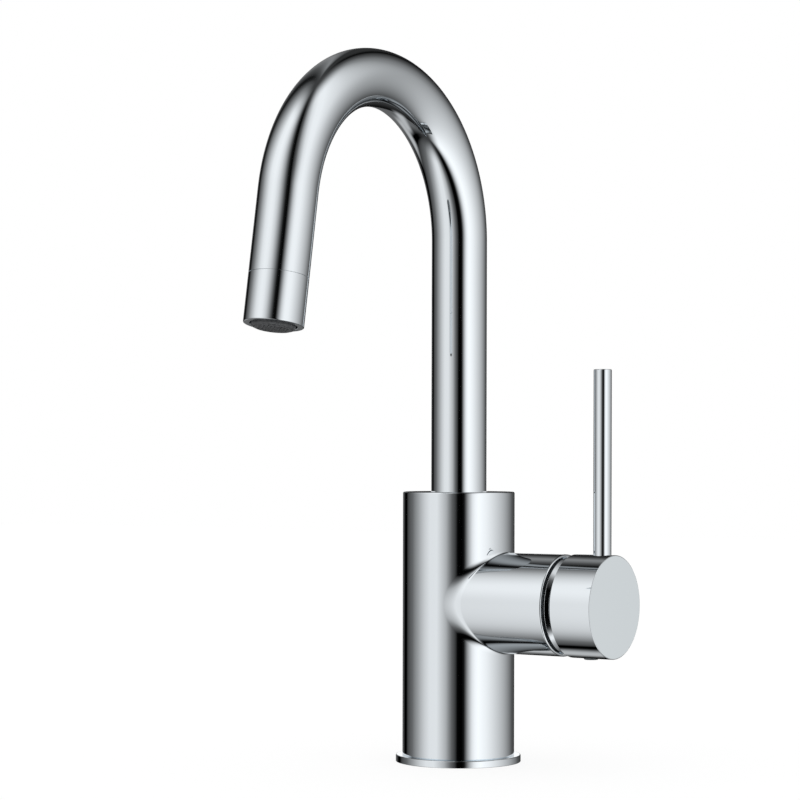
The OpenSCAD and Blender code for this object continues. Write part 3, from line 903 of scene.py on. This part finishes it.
def threaded(name, radius, pitch, low, high):
    """A helical thread between two heights, cut flat at its ends, as one closed bolt."""
    depth = pitch * 0.45
    turns = math.ceil((high - low) / pitch) + 3
    start = low - 1.5 * pitch
    points = [
        Vector((radius - depth, 0, start)) * MM,
        Vector((radius - depth, 0, start + pitch * 0.15)) * MM,
        Vector((radius, 0, start + pitch * 0.45)) * MM,
        Vector((radius, 0, start + pitch * 0.7)) * MM,
        Vector((radius - depth, 0, start + pitch)) * MM,
    ]
    piece = drawn(name, points)
    bpy.ops.object.mode_set(mode="OBJECT")
    bpy.ops.object.transform_apply(location=True, rotation=True, scale=True)
    apply_modifier(
        piece,
        "SCREW",
        axis="Z",
        angle=math.tau,
        screw_offset=pitch * MM,
        iterations=turns,
        steps=48,
        render_steps=48,
        use_merge_vertices=True,
        merge_threshold=2e-6,
    )
    edit(piece)
    bpy.ops.mesh.select_all(action="SELECT")
    bpy.ops.mesh.remove_doubles(threshold=2e-6)
    for height, inner in ((low, True), (high, False)):
        bpy.ops.mesh.select_all(action="SELECT")
        bpy.ops.mesh.bisect(
            plane_co=(0, 0, height * MM),
            plane_no=(0, 0, 1),
            use_fill=True,
            clear_inner=inner,
            clear_outer=not inner,
            threshold=1e-7,
        )
    bpy.ops.mesh.select_all(action="SELECT")
    bpy.ops.mesh.normals_make_consistent(inside=False)
    bpy.ops.object.mode_set(mode="OBJECT")
    return piece


class FAUCET_OT_mounting(bpy.types.Operator):
    """Models the threaded shank, the washers, the nut and the clamp screws under the deck"""

    bl_idname = "faucet.mounting"
    bl_label = "Mounting"

    def execute(self, context):
        shank = threaded("shank", 16.5, 2.3, -62, 2)
        outline = [(14, -66), (30, -66), (30, -55), (17.9, -55), (14.6, -62)]
        cut(shank, turned("shank_end", eased(outline), steps=96))
        outline = [(0, 1), (16.5, 1), (16.5, 21.5, 1.0), (0, 21.5)]
        cut(shank, turned("plain_end", eased(outline), closed=False, steps=96), how="UNION")
        cut(shank, rod_cutter((0, 0, -70), UP, 13.5, 100, 96))
        shaded(shank, 30)
        settle(shank, "faucet_base", "brass", "machined_brass", "mounting_shank")

        outline = [(16.7, -33, 0.3), (28, -33, 0.6), (28, -30, 0.6), (16.7, -30, 0.3)]
        rubber = turned("soft_washer", eased(outline), steps=128)
        settle(rubber, "faucet_base", "rubber", "seal_rubber", "rubber_washer")
        outline = [(16.7, -34.5, 0.15), (27, -34.5, 0.25), (27, -33, 0.25), (16.7, -33, 0.15)]
        washer = turned("hard_washer", eased(outline), steps=128)
        settle(washer, "faucet_base", "steel", "stainless_steel", "steel_washer")

        fresh()
        bpy.ops.mesh.primitive_cylinder_add(
            vertices=6,
            radius=25 * MM / math.cos(math.pi / 6),
            depth=9 * MM,
            location=(0, 0, -42.5 * MM),
            rotation=(0, 0, math.pi / 6),
        )
        nut = named("clamp_nut")
        bpy.ops.object.transform_apply(location=True, rotation=True, scale=True)
        outline = [
            (0, -47.2), (24.6, -47.2), (29.4, -44.4), (29.4, -40.6), (24.6, -37.8), (0, -37.8),
        ]
        cone = turned("nut_chamfer", eased(outline), closed=False, steps=96)
        cut(nut, cone, how="INTERSECT")
        # The bore's two countersinks run on past the nut's faces, so that no corner lies in a face
        outline = [
            (0, -48), (18.94, -48), (16.55, -45.7), (16.55, -39.3), (18.94, -37), (0, -37),
        ]
        bore = turned("nut_bore", eased(outline), closed=False, steps=96)
        cut(nut, bore, *(rod_cutter((22 * side, 0, -49), UP, 2.55, 12) for side in (-1, 1)))
        shaded(nut, 25)
        settle(nut, "faucet_base", "brass", "machined_brass", "mounting_nut")

        jack = threaded("jack_screws", 2.5, 0.8, -50.5, -35.3)
        outline = [(0, -54), (4.2, -54, 0.35), (4.2, -50, 0.25), (0, -50)]
        head = turned("jack_head", eased(outline), closed=False, steps=64)
        outline = [(0, -35.6), (2.05, -35.6), (1.6, -34.5, 0.3), (0, -34.5)]
        tip = turned("jack_tip", eased(outline), closed=False, steps=48)
        cut(jack, head, tip, how="UNION")
        cut(jack, rod_cutter((0, 0, -55), UP, 2.3, 3.2, 6))
        jack.data.transform(Matrix.Translation((-22 * MM, 0, 0)))
        alone(jack)
        bpy.ops.object.duplicate()
        twin = bpy.context.object
        twin.data.transform(Matrix.Translation((44 * MM, 0, 0)))
        jack.select_set(True)
        bpy.context.view_layer.objects.active = jack
        bpy.ops.object.join()
        shaded(jack, 30)
        settle(jack, "faucet_base", "steel", "stainless_steel", "clamp_screws")
        return {"FINISHED"}


class FAUCET_OT_grub(bpy.types.Operator):
    """Turns the grub screw at the back that keeps the spout in the body"""

    bl_idname = "faucet.grub"
    bl_label = "Spout Set Screw"

    def execute(self, context):
        tip, head = 11.6, 24.5
        outline = [
            (0, tip), (1.4, tip, 0.2), (1.4, tip + 1.6),
            (1.95, tip + 2.0), (1.95, head, 0.2), (0, head),
        ]
        where = (0, 0, 109.5 * MM)
        piece = turned("spout_grub", eased(outline), where, (0, 1, 0), closed=False, steps=48)
        cut(piece, rod_cutter((0, head - 1.8, 109.5), (0, 1, 0), 1.15, 3, 6))
        shaded(piece, 30)
        settle(piece, "faucet_base", "steel", "stainless_steel", "spout_set_screw")
        return {"FINISHED"}


INNER = {
    "grey_moulding": ("cartridge_foot", "cartridge_housing"),
    "seal_rubber": ("foot_seals", "disc_seals", "rotor_seal", "swivel_seals", "aerator_washer"),
    "lapped_ceramic": ("fixed_disc", "moving_disc"),
    "machined_brass": ("cartridge_nut", "swivel_sleeve"),
    "white_nylon": ("rotor", "disc_driver", "glide_rings", "flow_restrictor", "inlet_strainer"),
    "stainless_steel": ("pivot_pin", "lever_stem", "rod_stud", "hub_set_screw"),
}


class FAUCET_OT_inner(bpy.types.Operator):
    """Gives the parts of the cartridge, the swivel and the aerator their finishes"""

    bl_idname = "faucet.inner"
    bl_label = "Inner Parts"

    def execute(self, context):
        for material, nodes in INNER.items():
            for node in nodes:
                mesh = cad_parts[node].data
                mesh.materials.clear()
                mesh.materials.append(bpy.data.materials[material])
        return {"FINISHED"}


# ---------- stage ----------

# The camera stands turned from -Y towards +X and looks a little past the axis; degrees and mm
CAMERA_TURN = 32.64
CAMERA_YAW = 1.377
CAMERA_PITCH = 0.006
CAMERA_ROLL = 0.136
CAMERA_AWAY = 1119.5
CAMERA_HEIGHT = 136.55

# What the chrome mirrors round the horizon, (degrees from the camera, brightness): two tall soft
# boxes in front, one on each side, with the dark camera slot and black flags between them
LOW_LIGHT = (
    (-180, 0.12), (-166, 0.14), (-150, 0.02), (-146, 0.0), (-136, 0.0), (-129, 0.062),
    (-111, 0.147), (-93, 0.37), (-75, 0.67), (-63, 0.826), (-47, 0.84), (-33, 0.58),
    (-27, 0.46), (-21, 0.265), (-15, 0.125), (-9, 0.058), (-4, 0.002), (5, 0.0), (10, 0.008),
    (13, 0.09), (15, 0.195), (21, 0.53), (27, 0.86), (33, 1.03), (40, 1.11), (57, 0.97),
    (81, 0.705), (105, 0.457), (123, 0.263), (141, 0.095), (162, 0.045), (177, 0.005),
)
HIGH_LIGHT = (
    (-180, 0.02), (-171, 0.25), (-159, 0.085), (-147, 0.007), (-141, 0.014), (-129, 0.11),
    (-111, 0.33), (-87, 0.725), (-75, 0.92), (-57, 0.98), (-45, 0.91), (-33, 0.73), (-21, 0.43),
    (-9, 0.113), (-1, 0.01), (9, 0.0), (15, 0.053), (21, 0.124), (33, 0.47), (45, 0.81),
    (57, 0.95), (69, 0.95), (87, 0.79), (105, 0.54), (123, 0.263), (141, 0.093), (153, 0.033),
    (160, 0.0), (171, 0.03),
)
# Straight up and down
POLE_LIGHT = 0.05
BACKDROP_LIGHT = 1.056
# Two patches of the pale table behind the faucet, (degrees from the camera, elevation)
TABLE_PATCHES = ((-153, -31), (-167, -44))
TABLE_LIGHT = 0.5
# What chrome mirrors in chrome: this even light from behind, and so much less from above and below
EVEN_LIGHT = 0.72
STEEP_LOSS = 0.66
# What falls on everything but chrome
ROOM_LIGHT = 0.9

# Kept out of the chrome's reflections, as by the flags and the retouching of a studio picture
UNMIRRORED = (
    "lever_rod_dress", "rod_stud",
    "shank", "soft_washer", "hard_washer", "clamp_nut", "jack_screws",
)


class Sky:
    """Builds the world's nodes."""

    def __init__(self, tree):
        self.tree = tree

    def maths(self, kind, *values):
        node = self.tree.nodes.new("ShaderNodeMath")
        node.operation = kind
        for socket, value in zip(node.inputs, values):
            if isinstance(value, (int, float)):
                socket.default_value = value
            else:
                self.tree.links.new(value, socket)
        return node.outputs[0]

    def smooth(self, value, start, end, low=0.0, high=1.0):
        node = self.tree.nodes.new("ShaderNodeMapRange")
        node.interpolation_type = "SMOOTHSTEP"
        keys = ("From Min", "From Max", "To Min", "To Max")
        for key, number in zip(keys, (start, end, low, high)):
            node.inputs[key].default_value = number
        self.tree.links.new(value, node.inputs["Value"])
        return node.outputs["Result"]

    def band(self, value, centre, half, soft):
        """1 within half of the centre, falling to 0 over soft."""
        away = self.maths("ABSOLUTE", self.maths("SUBTRACT", value, centre))
        return self.smooth(away, half, half + soft, 1.0, 0.0)

    def ramp(self, factor, stops):
        node = self.tree.nodes.new("ShaderNodeValToRGB")
        elements = node.color_ramp.elements
        while len(elements) < len(stops):
            elements.new(0.5)
        for element, (degrees, level) in zip(elements, stops):
            element.position = (degrees + 180) / 360
            element.color = (level, level, level, 1)
        self.tree.links.new(factor, node.inputs["Fac"])
        return node.outputs["Color"]

    def mixed(self, factor, a, b):
        node = self.tree.nodes.new("ShaderNodeMix")
        node.data_type = "RGBA"
        if isinstance(factor, float):
            node.inputs["Factor"].default_value = factor
        else:
            self.tree.links.new(factor, node.inputs["Factor"])
        for socket, value in ((node.inputs[6], a), (node.inputs[7], b)):
            if isinstance(value, (int, float)):
                socket.default_value = (value, value, value, 1)
            else:
                self.tree.links.new(value, socket)
        return node.outputs[2]


class FAUCET_OT_stage(bpy.types.Operator):
    """Sets the camera, the studio that the chrome mirrors, and the pale floor"""

    bl_idname = "faucet.stage"
    bl_label = "Stage"

    def execute(self, context):
        self.camera(context)
        self.studio(context)
        self.card()
        self.floor()
        context.scene.view_settings.view_transform = "Standard"
        return {"FINISHED"}

    def camera(self, context):
        turn, heading = math.radians(CAMERA_TURN), math.radians(CAMERA_TURN + CAMERA_YAW)
        pitch, roll = math.radians(CAMERA_PITCH), math.radians(CAMERA_ROLL)
        place = Vector((math.sin(turn), -math.cos(turn), 0)) * CAMERA_AWAY + UP * CAMERA_HEIGHT
        ahead = Vector((-math.sin(heading), math.cos(heading), 0)) * math.cos(pitch)
        ahead += UP * math.sin(pitch)
        level = Vector((math.cos(heading), math.sin(heading), 0))
        above = level.cross(ahead)
        right = level * math.cos(roll) + above * math.sin(roll)
        up = above * math.cos(roll) - level * math.sin(roll)
        fresh()
        bpy.ops.object.camera_add()
        camera = context.object
        camera.name = "camera"
        turned_to = Matrix((right, up, -ahead)).transposed().to_4x4()
        camera.matrix_world = Matrix.Translation(place * MM) @ turned_to
        camera.data.sensor_width = 36
        camera.data.lens = 110.23
        camera.data.shift_y = 0.0769
        context.scene.camera = camera

    def studio(self, context):
        world = bpy.data.worlds.new("studio")
        context.scene.world = world
        world.use_nodes = True
        tree = world.node_tree
        sky = Sky(tree)
        place = tree.nodes.new("ShaderNodeTexCoord")
        turn = tree.nodes.new("ShaderNodeMapping")
        turn.inputs["Rotation"].default_value[2] = math.radians(90 - CAMERA_TURN - CAMERA_YAW)
        tree.links.new(place.outputs["Generated"], turn.inputs["Vector"])
        split = tree.nodes.new("ShaderNodeSeparateXYZ")
        tree.links.new(turn.outputs["Vector"], split.inputs["Vector"])
        x, y, z = split.outputs
        degrees = sky.maths("MULTIPLY", sky.maths("ARCTAN2", y, x), 180 / math.pi)
        factor = sky.maths("ADD", sky.maths("DIVIDE", degrees, 360), 0.5)
        height = sky.maths("MULTIPLY", sky.maths("ARCSINE", z), 180 / math.pi)
        tilt = sky.maths("ABSOLUTE", height)
        low, high = (sky.ramp(factor, stops) for stops in (LOW_LIGHT, HIGH_LIGHT))
        pattern = sky.mixed(sky.smooth(height, 2, 32), low, high)
        # The white backdrop, as far as the flange's top mirrors it
        behind = sky.maths("SUBTRACT", 180, sky.maths("ABSOLUTE", degrees))
        backdrop = sky.maths("MULTIPLY", sky.band(behind, 0, 3, 3), sky.band(height, 6.8, 1.5, 1.5))
        pattern = sky.mixed(backdrop, pattern, BACKDROP_LIGHT)
        for side, rise in TABLE_PATCHES:
            table = sky.band(sky.maths("WRAP", degrees, 0, -360), side, 9, 13)
            table = sky.maths("MULTIPLY", table, sky.band(height, rise, 2, 12))
            pattern = sky.mixed(table, pattern, TABLE_LIGHT)
        pattern = sky.mixed(sky.smooth(tilt, 60, 88), pattern, POLE_LIGHT)
        rays = tree.nodes.new("ShaderNodeLightPath").outputs
        even = sky.mixed(sky.band(behind, 0, 50, 20), pattern, EVEN_LIGHT)
        calm = sky.mixed(sky.smooth(tilt, 20, 30), even, sky.mixed(STEEP_LOSS, pattern, 0))
        twice = sky.maths("GREATER_THAN", rays["Glossy Depth"], 1.5)
        pattern = sky.mixed(twice, pattern, calm)
        light = sky.mixed(rays["Is Glossy Ray"], ROOM_LIGHT, pattern)
        seen = sky.maths("MAXIMUM", rays["Is Camera Ray"], rays["Is Transmission Ray"])
        light = sky.mixed(seen, light, 1)
        tree.links.new(light, tree.nodes["Background"].inputs["Color"])

    def card(self):
        """Hangs a card beside the knob that only the knob mirrors, in its flat face."""
        face = BRANCH + ALONG * sizes().knob_end
        ahead = (face - bpy.context.scene.camera.location).normalized()
        mirrored = Vector((-ahead.x, ahead.y, ahead.z))
        fresh()
        bpy.ops.mesh.primitive_plane_add(
            size=1,
            location=face + mirrored * 0.25,
            rotation=(-mirrored).to_track_quat("Z", "Y").to_euler(),
        )
        card = named("card")
        card.scale = (0.06, 0.075, 1)
        gridded(card, 2)
        bpy.ops.object.transform_apply(location=True, rotation=True, scale=True)
        card.visible_camera = card.visible_diffuse = card.visible_shadow = False
        material = bpy.data.materials.new("card_paper")
        material.use_nodes = True
        nodes, links = material.node_tree.nodes, material.node_tree.links
        kinds = ("Emission", "BsdfTransparent", "AddShader")
        glow, clear, both = (nodes.new(f"ShaderNode{kind}") for kind in kinds)
        glow.inputs["Color"].default_value = (0.97, 1, 0.99, 1)
        glow.inputs["Strength"].default_value = 0.38
        links.new(glow.outputs[0], both.inputs[0])
        links.new(clear.outputs[0], both.inputs[1])
        links.new(both.outputs[0], nodes["Material Output"].inputs["Surface"])
        card.data.materials.append(material)
        lit = bpy.data.collections.new("lit_by_the_card")
        lit.objects.link(bpy.data.objects["knob"])
        card.light_linking.receiver_collection = lit

    def floor(self):
        for name in UNMIRRORED:
            (bpy.data.objects.get(name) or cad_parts[name]).visible_glossy = False
        fresh()
        bpy.ops.mesh.primitive_plane_add(size=6)
        floor = named("floor")
        gridded(floor, 4)
        floor.visible_glossy = False
        material = bpy.data.materials.new("pale_floor")
        material.use_nodes = True
        shader = material.node_tree.nodes["Principled BSDF"]
        shader.inputs["Base Color"].default_value = (0.2, 0.2, 0.2, 1)
        shader.inputs["Roughness"].default_value = 1
        shader.inputs["Specular IOR Level"].default_value = 0
        shader.inputs["Emission Color"].default_value = (1, 1, 1, 1)
        shader.inputs["Emission Strength"].default_value = 0.83
        floor.data.materials.append(material)


PIECES = (
    FAUCET_OT_finishes,
    FAUCET_OT_body,
    FAUCET_OT_flange,
    FAUCET_OT_neck,
    FAUCET_OT_knob,
    FAUCET_OT_rod,
    FAUCET_OT_plug,
    FAUCET_OT_spout,
    FAUCET_OT_collar,
    FAUCET_OT_aerator,
    FAUCET_OT_grub,
    FAUCET_OT_mounting,
    FAUCET_OT_inner,
    FAUCET_OT_stage,
)


class FAUCET_PT_panel(bpy.types.Panel):
    """Lists the faucet's sizes, finishes and pieces"""

    bl_idname = "FAUCET_PT_panel"
    bl_label = "Gooseneck Bar Faucet"
    bl_space_type = "VIEW_3D"
    bl_region_type = "UI"
    bl_category = "Faucet"

    def draw(self, context):
        for group in (context.scene.faucet_sizes, context.scene.faucet_finishes):
            box = self.layout.box()
            for name in group.__annotations__:
                box.prop(group, name)
        for piece in PIECES:
            self.layout.operator(piece.bl_idname)


CLASSES = (FaucetSizes, FaucetFinishes, *PIECES, FAUCET_PT_panel)


def register():
    for cls in CLASSES:
        bpy.utils.register_class(cls)
    bpy.types.Scene.faucet_sizes = PointerProperty(type=FaucetSizes)
    bpy.types.Scene.faucet_finishes = PointerProperty(type=FaucetFinishes)


def unregister():
    del bpy.types.Scene.faucet_finishes
    del bpy.types.Scene.faucet_sizes
    for cls in reversed(CLASSES):
        bpy.utils.unregister_class(cls)


def main():
    register()
    for piece in PIECES:
        group, name = piece.bl_idname.split(".")
        getattr(getattr(bpy.ops, group), name)()


if __name__ == "__main__":
    main()
